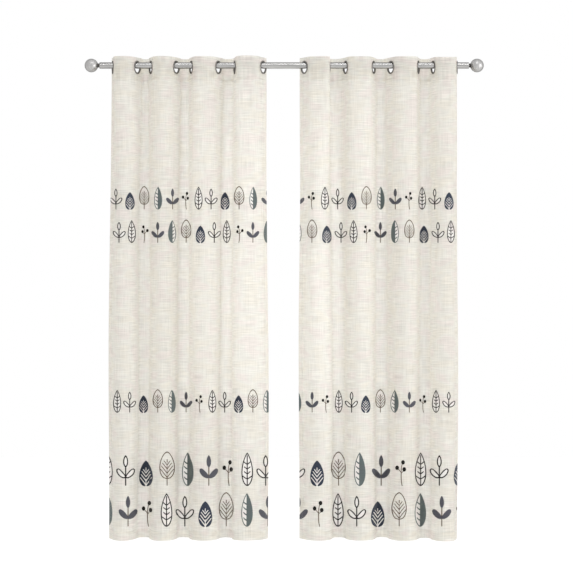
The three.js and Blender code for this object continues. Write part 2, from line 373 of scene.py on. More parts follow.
def grid_row(z):
    """Where a height lies among the rows of the grid."""
    drop = (CLOTH["top_z"] - z) / (CLOTH["top_z"] - CLOTH["hem_z"])
    return np.clip(drop, 0, 1) * (len(GRID_LEVELS) - 1)


def read_grid(values, place, z):
    """Values of the grid at places and heights between its points."""
    column = np.clip(place / CLOTH["flat_width"], 0, 1) * (len(GRID_PLACES) - 1)
    row = grid_row(z)
    c = np.minimum(column.astype(int), len(GRID_PLACES) - 2)
    r = np.minimum(row.astype(int), len(GRID_LEVELS) - 2)
    right = (column - c)[:, None]
    below = (row - r)[:, None]
    upper = values[r, c] * (1 - right) + values[r, c + 1] * right
    lower = values[r + 1, c] * (1 - right) + values[r + 1, c + 1] * right
    return upper * (1 - below) + lower * below


# ------------------------ the leaf print

# Every motif stands on its row's line, is drawn in millimetres at the size of the large rows,
# and is a list of painted shapes, (ink, outline), in which a later one covers an earlier one.
# A motif's lines are drawn with a pen, which is 1 in the large rows and a little broader in the
# small ones, so that they don't get too thin there.


def bent_line(shares, start, bend, end):
    """Points at shares of the way along a smooth line from start to end, drawn towards bend,
    and the line's unit directions there."""
    t = shares[:, None]
    start, bend, end = (np.array(point, float) for point in (start, bend, end))
    points = (1 - t) ** 2 * start + 2 * t * (1 - t) * bend + t**2 * end
    return points, unit((1 - t) * (bend - start) + t * (end - bend))


def leaf(start, bend, tip, width, foot, point):
    """A leaf's outline around a bent middle line. The ends are rounder where foot and point
    are near 0.5, and sharper where they are near 1. The larger of them has the longer taper."""
    t = (1 - np.cos(np.linspace(0, math.pi, 25))) / 2
    middle, along = bent_line(t, start, bend, tip)
    widest = foot / (foot + point)
    swell = t**foot * (1 - t) ** point / (widest**foot * (1 - widest) ** point)
    aside = along[:, ::-1] * (-1, 1) * (width / 2 * swell)[:, None]
    return np.concatenate([middle - aside, (middle + aside)[-2:0:-1]])


def stroke(points, width, end_width=None):
    """A drawn line's outline, with pointed ends."""
    points = np.asarray(points, float)
    widths = np.linspace(width, width if end_width is None else end_width, len(points))
    along = unit(np.gradient(points, axis=0)) * widths[:, None] / 2
    aside = along[:, ::-1] * (-1, 1)
    first = points[:1] - along[:1]
    last = points[-1:] + along[-1:]
    return np.concatenate([first, points - aside, last, (points + aside)[::-1]])


def bent_stroke(start, bend, end, width, end_width=None, steps=6):
    """The outline of a line drawn from start to end, towards bend."""
    points, _ = bent_line(np.linspace(0, 1, steps + 1), start, bend, end)
    return stroke(points, width, end_width)


def oval(centre, radius_x, radius_z, sides=16):
    """The outline of a circle or an oval."""
    turn = np.linspace(0, 2 * math.pi, sides + 1)[:-1]
    return np.stack([centre[0] + radius_x * np.cos(turn), centre[1] + radius_z * np.sin(turn)], 1)


def mirrored(shapes):
    """Shapes together with their mirror images."""
    return shapes + [(ink, outline * (-1, 1)) for ink, outline in shapes]


def open_leaf(ink, fill, line, start, bend, tip, width, foot, point):
    """A leaf drawn as an outline of a line's width, with its own fill inside it."""
    start, bend, tip = (np.array(end, float) for end in (start, bend, tip))
    along = unit(tip - start)
    inner_start = start + along * line * (0.3 + 1.7 * foot)
    inner_tip = tip - along * line * (0.3 + 1.7 * point)
    body = leaf(start, bend, tip, width, foot, point)
    opening = leaf(inner_start, bend, inner_tip, width - 2 * line, foot, point)
    return [(ink, body), (fill, opening)]


def rib_pairs(ink, ribs, line):
    """Straight veins in pairs, from the middle line up and out. Ribs are (root height, reach)."""
    shapes = []
    for root, reach in ribs:
        ends = [(0, root), (reach / 2, root + 0.65 * reach), (reach, root + 1.3 * reach)]
        shapes.append((ink, stroke(ends, line, 0.8 * line)))
    return mirrored(shapes)


STEM = [(0, 2), (0, 30), (0, 60), (0, 84)]
CROWN_LEAF = {"start": (0, 82), "bend": (0, 108), "tip": (0, 136), "foot": 0.62, "point": 0.72}
WING_LEAF = {"start": (0, 36), "bend": (24, 51), "tip": (37.5, 76), "foot": 0.5, "point": 0.45}


def outlined_sprig(pen):
    """A stem with an open leaf on top and two open leaves that sweep up to its sides."""
    line = 5.2 * pen
    shapes = [("charcoal", stroke(STEM, line))]
    shapes += open_leaf("charcoal", "pale", line, width=22, **CROWN_LEAF)
    return shapes + mirrored(open_leaf("charcoal", "pale", line, width=25, **WING_LEAF))


def filled_sprig(pen):
    """The same sprig with filled leaves on a thinner stem."""
    shapes = [("taupe", stroke(STEM, 4.4 * pen))]
    shapes.append(("slate", leaf(width=20, **CROWN_LEAF)))
    return shapes + mirrored([("slate", leaf(width=24, **WING_LEAF))])


def dark_leaf(pen):
    """A filled egg-shaped leaf with pale veins, split at its foot."""
    shapes = [("navy", leaf((0, -2), (0, 56), (0, 112), 61, foot=0.4, point=0.72))]
    shapes.append(("pale", stroke([(0, -5), (0, 8), (0, 20), (0, 32)], 6, 2)))
    shapes.append(("pale", stroke([(0, 68), (0, 72), (0, 76), (0, 80)], 4 / pen, 3 / pen)))
    return shapes + rib_pairs("pale", [(3, 26), (22, 22), (40, 18), (57, 12)], 4.5 / pen**2)


def ribbed_leaf(pen):
    """An outlined egg-shaped leaf on a stem, with straight veins."""
    line = 3.7 * pen**3
    shapes = [("taupe", stroke([(0, 2), (0, 12), (0, 22), (0, 34)], line))]
    shapes += open_leaf("taupe", "cloth", line, (0, 31), (0, 90), (0, 152), 67, foot=0.42, point=0.6)
    shapes.append(("taupe", stroke([(0, 32), (0, 55), (0, 75), (0, 95)], 0.6 * line)))
    shapes.append(("taupe", stroke([(0, 104), (0, 108), (0, 112), (0, 117)], line)))
    return shapes + rib_pairs("taupe", [(37, 29), (56, 25), (75, 20), (93, 14)], 3.7 * pen**0.5)


SLIM_LEAF = {"start": (0, -1), "bend": (0, 73), "tip": (0, 148), "foot": 0.55, "point": 0.82}


def half_leaf(pen):
    """A slim leaf, one half filled and the other open, with short veins."""
    body, (_, opening) = open_leaf("sage", "pale", 4 * pen, width=51, **SLIM_LEAF)
    shapes = [body, ("pale", opening[opening[:, 0] < -1])]
    for root in (28, 52, 75, 99):
        vein = bent_stroke((0, root), (-8, root + 1), (-15, root + 11), 7 * pen, 4 * pen)
        shapes.append(("sage", vein))
    return shapes


def feather_leaf(pen):
    """A slim open leaf with a middle vein and curved pairs of side veins."""
    line = 4.6 * pen
    shapes = open_leaf("charcoal", "pale", line, width=51, **SLIM_LEAF)
    shapes.append(("charcoal", stroke([(0, 3), (0, 50), (0, 95), (0, 134)], line)))
    side_veins = []
    for root, reach, rise in ((30, 23, 16), (53, 13, 10), (75, 13, 9), (95, 17, 14)):
        vein = [(0, root), (reach / 2, root + 0.35 * rise), (reach, root + rise)]
        side_veins.append(("charcoal", bent_stroke(*vein, 4.8 * pen, 4.2 * pen)))
    return shapes + mirrored(side_veins)


def berry_branch(pen):
    """A thin branch with three berries."""
    fork = (0, 58)
    shapes = [("taupe", bent_stroke((4, 1), (-2, 26), fork, 3.8 * pen, steps=10))]
    for start, bend, end in (
        (fork, (-5, 66), (-15, 76)),
        ((0, 56), (-1, 84), (6, 99)),
        (fork, (6, 60), (12, 68)),
    ):
        shapes.append(("taupe", bent_stroke(start, bend, end, 3.3 * pen, 3 * pen)))
    for centre in ((-18, 80), (8, 104), (13.5, 73)):
        shapes.append(("berry", oval(centre, 8, 10)))
    return shapes


# The seven motifs of one repeat, each with its share of the way along it.
REPEAT = [
    (0.000, outlined_sprig),
    (0.146, dark_leaf),
    (0.296, ribbed_leaf),
    (0.444, half_leaf),
    (0.594, filled_sprig),
    (0.734, berry_branch),
    (0.869, feather_leaf),
]
LARGE_REPEAT = 626.4
SMALL_SCALE = 0.679
SMALL_PEN = 1.1
# No motif reaches further than this to either side of its middle.
MOTIF_REACH = 60
# How often a point's height on the cloth is worked out again to settle it.
LAY_ROUNDS = 4

# The rows from the top: height of the line that they stand on, scale, where the first repeat
# starts, and whether the whole row is turned the other way round.
PRINT_ROWS = [
    (-637.5, SMALL_SCALE, 0, False),
    (-785.5, SMALL_SCALE, 14.4, True),
    (-1537.5, SMALL_SCALE, 60.9, False),
    (-1862, 1, 42.7, False),
    (-2042.5, 1, 307.8, False),
]

INKS = ["cloth", "pale", "charcoal", "navy", "taupe", "sage", "slate", "berry"]


def inside(outline, points):
    """Which points lie inside an outline."""
    x, z = points.T
    found = np.zeros(len(points), bool)
    for (x1, z1), (x2, z2) in zip(outline, np.roll(outline, -1, axis=0)):
        if z1 != z2:
            crossing = (z1 > z) != (z2 > z)
            found ^= crossing & (x < x1 + (z - z1) * (x2 - x1) / (z2 - z1))
    return found


def printed_shapes(curtain, hung):
    """Every painted shape of a curtain, laid on its flat cloth as (ink number, outline)."""
    width = CLOTH["flat_width"]
    stretch = curtain["print_stretch"]
    left_x = hung["seen_x"].min() - MOTIF_REACH
    right_x = hung["seen_x"].max() + MOTIF_REACH
    shapes = []
    for line_z, scale, start, turned_round in PRINT_ROWS:
        pen = 1 if scale == 1 else SMALL_PEN
        repeat = LARGE_REPEAT * scale * stretch
        facing = -1 if turned_round else 1
        for share, motif in REPEAT:
            x = curtain["print_start"] + start * stretch + facing * share * repeat
            x += math.ceil((left_x - x) / repeat) * repeat
            while x < right_x:
                for ink, outline in motif(pen):
                    shape = outline * (facing * scale, scale) + (x, line_z)
                    on_cloth = lay_on_cloth(shape, hung)
                    if on_cloth[:, 0].max() > 0 and on_cloth[:, 0].min() < width:
                        shapes.append((INKS.index(ink), on_cloth))
                x += repeat
    return shapes


def lay_on_cloth(shape, hung):
    """The place and height on the flat cloth of points that show at (x, z) from the front. The
    print is laid so that its rows read straight and even across the folds."""
    laid = []
    for x, seen_z in shape:
        z = seen_z
        for _ in range(LAY_ROUNDS):
            row = grid_row(z)
            r = int(row)
            level_x = hung["seen_x"][r] * (r + 1 - row) + hung["seen_x"][r + 1] * (row - r)
            level_y = hung["plain_y"][r] * (r + 1 - row) + hung["plain_y"][r + 1] * (row - r)
            nearness = VIEW_DISTANCE / (VIEW_DISTANCE + np.interp(x, level_x, level_y))
            z = VIEW_HEIGHT + (seen_z - VIEW_HEIGHT) / nearness
        place = np.interp(x, level_x, GRID_PLACES)
        # A motif that the cloth's edge cuts goes on past it, and is trimmed with the cloth.
        place += min(0, x - level_x[0]) + max(0, x - level_x[-1])
        laid.append((place, z))
    return np.array(laid)


# ------------------------ the cloth's mesh

COLUMN_STEP = 8.5
ROW_STEP = 24
HOLE_SIDES = 48
# Columns and rows keep this far from the eyelet holes.
HOLE_MARGIN = 2
# Points that are closer together than this become one.
SAME_POINT = 1e-4

# The turned hems lie behind the cloth: how wide they are, and how far they and the heading
# stand out from the back of it. Their inner edge takes this much cloth to step down.
SIDE_HEM = 25
BOTTOM_HEM = 38
SHEET_HALF = 0.6
HEM_EXTRA = 0.5
HEADING_EXTRA = 0.4
EDGE_STEP = 1.5
# A point this close to a hem's inner edge is still part of the hem.
ON_EDGE = 0.01


def sheet_columns():
    """Places of the mesh's columns, with close pairs at the edges of the side hems."""
    width = CLOTH["flat_width"]
    inner = SIDE_HEM + EDGE_STEP
    columns = list(np.linspace(inner, width - inner, round(width / COLUMN_STEP)))
    outer = [0, SIDE_HEM / 3, 2 * SIDE_HEM / 3, SIDE_HEM]
    return outer + columns + [width - place for place in reversed(outer)]


def sheet_levels():
    """Heights of the mesh's rows, with close pairs at the edges of the heading and hem."""
    hem_top = CLOTH["hem_z"] + BOTTOM_HEM
    heading = list(np.linspace(CLOTH["top_z"], HEADING_BOTTOM_Z, 8))
    body_top = HEADING_BOTTOM_Z - EDGE_STEP
    body_bottom = hem_top + EDGE_STEP
    body = list(np.linspace(body_top, body_bottom, round((body_top - body_bottom) / ROW_STEP)))
    hem = list(np.linspace(hem_top, CLOTH["hem_z"], 4))
    return heading + body + hem


def in_heading(z):
    """Whether each height lies in the heading."""
    return z > HEADING_BOTTOM_Z - ON_EDGE


def layers_at(place, z):
    """How many layers of cloth lie at each point: up to three in the hems and the heading."""
    side_hem = np.minimum(place, CLOTH["flat_width"] - place) < SIDE_HEM + ON_EDGE
    bottom_hem = z < CLOTH["hem_z"] + BOTTOM_HEM + ON_EDGE
    return 1.0 + 2.0 * (side_hem | bottom_hem | in_heading(z))


def cut_sheet(curtain, hung):
    """The flat cloth as triangles, cut at its outline, its eyelet holes and its print.
    Returns the points as (place, z), the triangles and each triangle's ink number."""
    width = CLOTH["flat_width"]
    top = CLOTH["top_z"]
    bottom = CLOTH["hem_z"]
    radius = RING["hub"] + RING["hole_gap"]
    eyelets = [CLOTH["side_margin"] + i * EYELET_SPACING for i in range(CLOTH["eyelets"])]
    cloth_outline = np.array([(0, bottom), (width, bottom), (width, top), (0, top)], float)
    holes = [oval((eyelet, RING_CENTRE_Z), radius, radius, HOLE_SIDES) for eyelet in eyelets]
    shapes = printed_shapes(curtain, hung)

    points = []
    edges = []
    for outline in [cloth_outline, *holes, *(outline for _, outline in shapes)]:
        numbers = range(len(points), len(points) + len(outline))
        edges += list(zip(numbers, [*numbers[1:], numbers[0]]))
        points += outline.tolist()
    for place in sheet_columns():
        for z in sheet_levels():
            near = min(math.hypot(place - eyelet, z - RING_CENTRE_Z) for eyelet in eyelets)
            if near > radius + HOLE_MARGIN:
                points.append([place, z])
    made = delaunay_2d_cdt(points, edges, [], 0, SAME_POINT, False)
    made_points = np.array([list(point) for point in made[0]])
    triangles = np.array([list(face) for face in made[2]])
    middles = made_points[triangles].mean(axis=1)
    kept = inside(cloth_outline, middles)
    for hole in holes:
        kept &= ~inside(hole, middles)
    triangles = triangles[kept]
    middles = middles[kept]
    inks = np.zeros(len(triangles), int)
    for ink, outline in shapes:
        near = ((middles > outline.min(0)) & (middles < outline.max(0))).all(1)
        inks[np.flatnonzero(near)[inside(outline, middles[near])]] = ink
    used = np.unique(triangles)
    return made_points[used], np.searchsorted(used, triangles).tolist(), inks.tolist()


def edges_once(triangles):
    """The edges that only one triangle has, in the direction that it has them."""
    edges = {}
    for a, b, c in triangles:
        for edge in ((a, b), (b, c), (c, a)):
            edges[edge] = True
    return [edge for edge in edges if (edge[1], edge[0]) not in edges]


def add_curtain(curtain, hung, materials):
    """One curtain as a thin closed sheet: a front, a back and the narrow edge between them."""
    flat, triangles, inks = cut_sheet(curtain, hung)
    place, z = flat.T
    middle, normals = read_cloth(hung, place, z)
    layers = layers_at(place, z)
    extra = np.where(in_heading(z), HEADING_EXTRA, HEM_EXTRA * (layers > 1))
    front = middle + normals * SHEET_HALF
    back = middle - normals * (SHEET_HALF + extra)[:, None]
    count = len(flat)
    faces = list(triangles)
    faces += [[c + count, b + count, a + count] for a, b, c in triangles]
    rim = [[b, a, a + count, b + count] for a, b in edges_once(triangles)]
    faces += rim
    piece = add_piece(curtain["side"] + "_curtain", np.concatenate([front, back]), faces, materials)
    mesh = piece.data
    mesh.polygons.foreach_set("material_index", inks + inks + [0] * len(rim))
    smooth = [True] * (2 * len(triangles)) + [False] * len(rim)
    mesh.polygons.foreach_set("use_smooth", smooth)

    corner_points = np.empty(len(mesh.loops), int)
    mesh.loops.foreach_get("vertex_index", corner_points)
    flat_twice = np.concatenate([flat, flat]) * MM
    uv_map = mesh.uv_layers.new(name="flat_cloth")
    uv_map.data.foreach_set("uv", flat_twice[corner_points].ravel())
    layer_count = mesh.attributes.new("layers", "FLOAT", "POINT")
    layer_count.data.foreach_set("value", np.concatenate([layers, layers]))
    from_behind = mesh.attributes.new("from_behind", "FLOAT", "FACE")
    behind = [0.0] * len(triangles) + [1.0] * len(triangles) + [0.0] * len(rim)
    from_behind.data.foreach_set("value", behind)

    both_normals = np.concatenate([normals, -normals])
    corner_normals = both_normals[corner_points]
    corner_normals[6 * len(triangles) :] = 0
    mesh.normals_split_custom_set(corner_normals.tolist())
    return piece


# ------------------------ cloth materials

GROUND = "#f1f0eb"
# How much of a drawn ink shows through on the back of the cloth.
SHOW_THROUGH = 0.5
# How much of the view three layers of cloth hide.
COVER_THREEFOLD = 0.9


def printed_voile(name, colour, slub, glow_share, cover_once):
    """Woven polyester voile with a printed linen look: a soft matt cloth that lets light
    through, with thick and thin threads both ways. Slub is how far the threads differ in
    tone, glow_share how much light the threads pass on, and cover_once how much of the view
    one layer hides."""
    material, tree = new_material(name)
    flat = add_node(tree, "ShaderNodeUVMap", uv_map="flat_cloth").outputs["UV"]

    # Thick threads, a few millimetres wide and far longer, most of them across.
    across = noise(tree, flat, (13, 330, 1), 2)
    down = noise(tree, flat, (260, 10, 1), 2)
    both = output_of(tree, "ShaderNodeMath", {0: down, 1: 0.5, 2: across}, operation="MULTIPLY_ADD")
    thickness = remap(tree, both, 0, 1, 0.45, 1.05)

    # Faint patches of warmer and pinker yarn, a few centimetres across.
    patches = add_node(tree, "ShaderNodeValToRGB", {"Fac": noise(tree, flat, (12, 20, 1), 1)})
    ramp = patches.color_ramp
    ramp.elements[0].position = 0.38
    ramp.elements[0].color = srgb("#fffbfc")
    ramp.elements[1].position = 0.62
    ramp.elements[1].color = srgb("#fffdfb")
    ramp.elements.new(0.5).color = srgb("#ffffff")

    # Ink that has soaked through shows paler from behind.
    behind = add_node(tree, "ShaderNodeAttribute", attribute_name="from_behind").outputs["Fac"]
    soaked = remap(tree, behind, 0, 1 - SHOW_THROUGH)
    inks = {"Factor": soaked, 6: srgb(colour), 7: srgb(GROUND)}
    printed = add_node(tree, "ShaderNodeMix", inks, data_type="RGBA").outputs[2]
    shade = remap(tree, thickness, 1 - slub, 1 + slub)
    tinted = output_of(
        tree, "ShaderNodeVectorMath", {0: printed, 1: patches.outputs["Color"]}, operation="MULTIPLY"
    )
    woven = output_of(tree, "ShaderNodeVectorMath", {0: tinted, 1: shade}, operation="MULTIPLY")

    # The weave itself, drawn coarser than its real 0.6 mm threads so that it can show.
    weave = noise(tree, flat, (400, 400, 1), 0)
    relief = output_of(tree, "ShaderNodeMath", {0: weave, 1: thickness}, operation="ADD")
    bumps = {"Height": relief, "Strength": 0.25, "Distance": 0.0004}
    bump = output_of(tree, "ShaderNodeBump", bumps)
    matt = {"Base Color": woven, "Roughness": 0.85, "IOR": 1.45, "Sheen Weight": 0.05, "Normal": bump}
    cloth = output_of(tree, "ShaderNodeBsdfPrincipled", matt)
    glow = output_of(tree, "ShaderNodeBsdfTranslucent", {"Color": woven, "Normal": bump})
    body = output_of(tree, "ShaderNodeMixShader", {0: glow_share, 1: cloth, 2: glow})

    # The voile is open between its threads. Hems and the heading are three layers thick.
    layers = add_node(tree, "ShaderNodeAttribute", attribute_name="layers").outputs["Fac"]
    cover = remap(tree, layers, cover_once, COVER_THREEFOLD, 1, 3)
    gaps = output_of(tree, "ShaderNodeBsdfTransparent")
    surface = output_of(tree, "ShaderNodeMixShader", {0: cover, 1: gaps, 2: body})
    add_node(tree, "ShaderNodeOutputMaterial", {"Surface": surface})
    return material


# Pigment print closes the gaps between the threads, so it is less sheer than the plain cloth.
cloth_materials = [
    printed_voile("linen_look_voile", GROUND, 0.17, 0.7, 0.76),
    printed_voile("voile_white_pigment", "#fbfaf8", 0.05, 0.6, 0.8),
    printed_voile("voile_charcoal_pigment", "#231e20", 0.1, 0.2, 0.97),
    printed_voile("voile_navy_pigment", "#343c4c", 0.1, 0.2, 0.97),
    printed_voile("voile_taupe_pigment", "#5f4e3d", 0.1, 0.3, 0.95),
    printed_voile("voile_sage_pigment", "#687373", 0.1, 0.3, 0.95),
    printed_voile("voile_slate_pigment", "#5a5b64", 0.1, 0.3, 0.95),
    printed_voile("voile_black_pigment", "#120e0b", 0.1, 0.1, 0.98),
]

# ------------------------ metal materials


def satin_nickel(name, colour, edge, roughness, grain, streak, relief=0.15):
    """Nickel plate over steel. Fine brush marks, as many per metre along x, y and z as grain
    says, give the reflections a soft streak. Streak is how far the marks differ in tone, relief
    how deep they feel, and edge the tint of the metal where it turns away from view. An edge
    tint darker than the colour is a painted reflection: it darkens the rims as dark surroundings
    would."""
    material, tree = new_material(name)
    place = add_node(tree, "ShaderNodeTexCoord").outputs["Object"]
    marks = noise(tree, place, grain, 2, roughness=0.6)
    tone = remap(tree, marks, 1 - streak, 1 + streak, 0.3, 0.7)
    tinted = {0: srgb(colour)[:3], 1: tone}
    bumps = {"Height": marks, "Strength": relief, "Distance": 0.0001}
    plating = {
        "Base Color": output_of(tree, "ShaderNodeVectorMath", tinted, operation="MULTIPLY"),
        "Metallic": 1,
        "Roughness": remap(tree, marks, roughness - 0.02, roughness + 0.02),
        "Specular Tint": srgb(edge),
        "Normal": output_of(tree, "ShaderNodeBump", bumps),
    }
    metal = output_of(tree, "ShaderNodeBsdfPrincipled", plating)
    add_node(tree, "ShaderNodeOutputMaterial", {"Surface": metal})
    return material


# The rod's dark edge tint paints darker reflections along its top and underside.
rod_nickel = satin_nickel(
    "satin_nickel_drawn_tube", "#abaaa9", "#4a4a4a", 0.24, (6, 300, 300), 0.32, relief=0.04
)
# The ball's grey edge tint paints a little darker reflection round its rim.
ball_nickel = satin_nickel(
    "satin_nickel_spun_ball", "#b6b5b4", "#808080", 0.44, (300, 30, 30), 0.12
)
ring_nickel = satin_nickel(
    "dark_nickel_pressed_ring", "#85827f", "#8a8a8a", 0.3, (90, 90, 90), 0.12
)
neck_nickel = satin_nickel(
    "dark_nickel_turned_neck", "#55524f", "#5a5a5a", 0.36, (400, 30, 30), 0.12
)

# ------------------------ turned pieces


def turned(profile, sides, axis):
    """Points and faces of a closed body turned about an axis. The profile is (along, out)
    points, and an out of 0 at its ends closes it at a pole."""
    points = []
    rings = []
    for along, out in profile:
        ring = []
        for k in range(1 if out == 0 else sides):
            turn = 2 * math.pi * k / sides
            ring.append(len(points))
            spin = (out * math.cos(turn), out * math.sin(turn))
            points.append((along, *spin) if axis == "x" else (spin[1], along, spin[0]))
        rings.append(ring)
    faces = []
    for low, high in zip(rings, rings[1:]):
        for k in range(sides):
            n = (k + 1) % sides
            if len(low) == 1:
                faces.append([low[0], high[n], high[k]])
            elif len(high) == 1:
                faces.append([low[k], low[n], high[0]])
            else:
                faces.append([low[k], low[n], high[n], high[k]])
    return np.array(points), faces


def rod_profile():
    """The rod with its end edges rounded."""
    end = ROD["half_length"]
    radius = ROD["radius"]
    edge = ROD["edge"]
    half = [(end, 0), (end, radius - edge - ROD_RINGS["on_end"]), (end, radius - edge)]
    for turn in (0.4, 0.8, 1.2):
        half.append((end - edge * (1 - math.cos(turn)), radius - edge * (1 - math.sin(turn))))
    half += [(end - edge, radius), (end - edge - ROD_RINGS["on_side"], radius)]
    first = ROD_RINGS["start"] - end
    steps = [(x, radius) for x in np.linspace(first, -first, ROD_RINGS["count"])]
    return [(-x, r) for x, r in half] + steps + half[::-1]


def ball_profile():
    """A ball with a small flat where the neck meets it."""
    radius = FINIAL["ball_radius"]
    flat_angle = math.asin(FINIAL["neck_radius"] / radius)
    angles = np.linspace(flat_angle, math.pi, FINIAL["ball_rings"])
    profile = [(-radius * math.cos(flat_angle), 0)]
    profile += [(-radius * math.cos(a), radius * math.sin(a)) for a in angles[:-1]]
    return profile + [(radius, 0)]


def neck_profile(length):
    """A turned collar with a narrow waist between two rounded lips."""
    lip = FINIAL["neck_radius"]
    half = [(0, 0)] + [(x, lip - inside_by) for x, inside_by in NECK_LIP]
    lip_end = NECK_LIP[-1][0]
    for share in (0.3, 0.6, 1):
        hollow = (FINIAL["neck_waist"] - lip) * math.sin(share * math.pi / 2)
        half.append((lip_end + (length / 2 - lip_end) * share, lip + hollow))
    return half + [(length - x, r) for x, r in half[-2::-1]]


def ring_profile():
    """The section of an eyelet ring: two rounded flanges on a hub that goes through the cloth."""
    flange = []
    for angle in np.linspace(0, math.pi, RING["flange_points"]):
        inner = angle > math.pi / 2
        reach = RING["dome_radius"] - RING["bore"] if inner else RING["rim"] - RING["dome_radius"]
        base = RING["bore_height"] if inner else RING["rim_height"]
        height = base + (RING["dome_height"] - base) * math.sin(angle) ** 0.9
        flange.append((height, RING["dome_radius"] + reach * math.cos(angle)))
    slot = [(RING["slot"], RING["hub"]), (RING["slot"], RING["rim"] - RING["rim_round"])]
    front = slot + flange
    return [(-height, out) for height, out in reversed(front)] + front


def add_turned(name, profile, sides, material, axis="x", flip=False):
    points, faces = turned(profile, sides, axis)
    if flip:
        points = points * (-1, 1, 1)
        faces = [face[::-1] for face in faces]
    return add_piece(name, points, faces, [material])


rod = add_turned("curtain_rod", rod_profile(), ROD["sides"], rod_nickel)
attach(rod, "root")
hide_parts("rod")

flat_depth = math.sqrt(FINIAL["ball_radius"] ** 2 - FINIAL["neck_radius"] ** 2)
neck_start = ROD["half_length"] + FINIAL["gap"]
neck_length = FINIAL["ball_centre"] - flat_depth - FINIAL["gap"] - neck_start
ball_line = [(x + FINIAL["ball_centre"], r) for x, r in ball_profile()]
neck_line = [(x + neck_start, r) for x, r in neck_profile(neck_length)]
for side in ("left", "right"):
    for part, line, nickel, slot in (
        ("ball", ball_line, ball_nickel, "brushed_nickel"),
        ("neck", neck_line, neck_nickel, "dark_nickel"),
    ):
        name = f"{side}_finial_{part}"
        piece = add_turned(name, line, FINIAL["sides"], nickel, flip=side == "left")
        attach(piece, "root")
        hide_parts(f"{side}_{part}")

# ------------------------ rules for what repeats


def new_rule(name, inputs):
    """An empty geometry node group with named inputs and one output, Made."""
    rule = bpy.data.node_groups.new(name, "GeometryNodeTree")
    for label, kind in inputs.items():
        rule.interface.new_socket(label, in_out="INPUT", socket_type="NodeSocket" + kind)
    rule.interface.new_socket("Made", in_out="OUTPUT", socket_type="NodeSocketGeometry")
    return rule


def finish_rule(rule, laid, material):
    """Turns a rule's instances into one smooth mesh in its material."""
    real = output_of(rule, "GeometryNodeRealizeInstances", {"Geometry": laid})
    smooth = output_of(rule, "GeometryNodeSetShadeSmooth", {"Geometry": real})
    clad = output_of(rule, "GeometryNodeSetMaterial", {"Geometry": smooth, "Material": material})
    add_node(rule, "NodeGroupOutput", {"Made": clad})


def follow_rule(piece, rule, values):
    """Runs a rule on a piece's mesh, and gives the piece the mesh that it makes."""
    modifier = piece.modifiers.new(rule.name, "NODES")
    modifier.node_group = rule
    for socket in rule.interface.items_tree:
        if socket.in_out == "INPUT" and socket.name in values:
            modifier[socket.identifier] = values[socket.name]
    seen = piece.evaluated_get(bpy.context.evaluated_depsgraph_get())
    made = bpy.data.meshes.new_from_object(seen)
    made.name = piece.name
    piece.modifiers.remove(modifier)
    piece.data = made


def ring_rule():
    """Puts a ring at each point, turned about the upright axis by the point's own turn."""
    inputs = {"Eyelets": "Geometry", "Ring": "Object", "Plating": "Material"}
    rule = new_rule("ring_at_each_eyelet", inputs)
    given = add_node(rule, "NodeGroupInput").outputs
    ring = add_node(rule, "GeometryNodeObjectInfo", {"Object": given["Ring"]}).outputs["Geometry"]
    turn = output_of(rule, "GeometryNodeInputNamedAttribute", {"Name": "turn"}, data_type="FLOAT")
    spin = output_of(rule, "ShaderNodeCombineXYZ", {"Z": turn})
    copies = {"Points": given["Eyelets"], "Instance": ring, "Rotation": spin}
    finish_rule(rule, output_of(rule, "GeometryNodeInstanceOnPoints", copies), given["Plating"])
    return rule


def stitch_rule():
    """Sews a row of small rounded stitches along each path."""
    inputs = {"Paths": "Geometry", "Thread": "Material"}
    inputs |= {"Pitch": "Float", "Stitch Length": "Float", "Thread Radius": "Float"}
    rule = new_rule("row_of_stitches", inputs)
    given = add_node(rule, "NodeGroupInput").outputs
    paths = output_of(rule, "GeometryNodeMeshToCurve", {"Mesh": given["Paths"]})
    spacing = {"Curve": paths, "Length": given["Pitch"]}
    spaced = output_of(rule, "GeometryNodeResampleCurve", spacing, mode="LENGTH")
    along = output_of(rule, "GeometryNodeInputTangent")
    turn = output_of(rule, "FunctionNodeAlignRotationToVector", {"Vector": along}, axis="Z")
    halved = {0: given["Stitch Length"], 1: 0.5}
    half_length = output_of(rule, "ShaderNodeMath", halved, operation="MULTIPLY")
    radius = given["Thread Radius"]
    size = output_of(rule, "ShaderNodeCombineXYZ", {"X": radius, "Y": radius, "Z": half_length})
    stitch = output_of(rule, "GeometryNodeMeshUVSphere", {"Segments": 6, "Rings": 4, "Radius": 1})
    copies = {"Points": spaced, "Instance": stitch, "Rotation": turn, "Scale": size}
    finish_rule(rule, output_of(rule, "GeometryNodeInstanceOnPoints", copies), given["Thread"])
    return rule


# ------------------------ eyelet rings

one_ring_profile = ring_profile()
one_ring_profile.append(one_ring_profile[0])
one_ring = add_turned("one_ring", one_ring_profile, RING["sides"], ring_nickel, axis="y")
rings_in_place = ring_rule()


def add_rings(curtain):
    """All the rings of one curtain, each square to the cloth where it crosses the rod."""
    x, y, angle, _ = fold_lines(curtain, RING_CENTRE_Z)
    places = np.stack([x, y, np.full(len(x), RING_CENTRE_Z)], axis=1)
    piece = add_piece(curtain["side"] + "_eyelets", places, [], [])
    turn = piece.data.attributes.new("turn", "FLOAT", "POINT")
    turn.data.foreach_set("value", angle)
    follow_rule(piece, rings_in_place, {"Ring": one_ring, "Plating": ring_nickel})
    return piece


# ------------------------ stitching

# Inset is the distance of a seam from the hem's inner edge, and end that of its first stitch
# from the edge of the cloth.
STITCH = {"pitch": 4.4, "length": 3.4, "radius": 0.3, "inset": 3, "end": 2}
SEAM_POINTS_ACROSS = 441
SEAM_POINTS_DOWN = 211


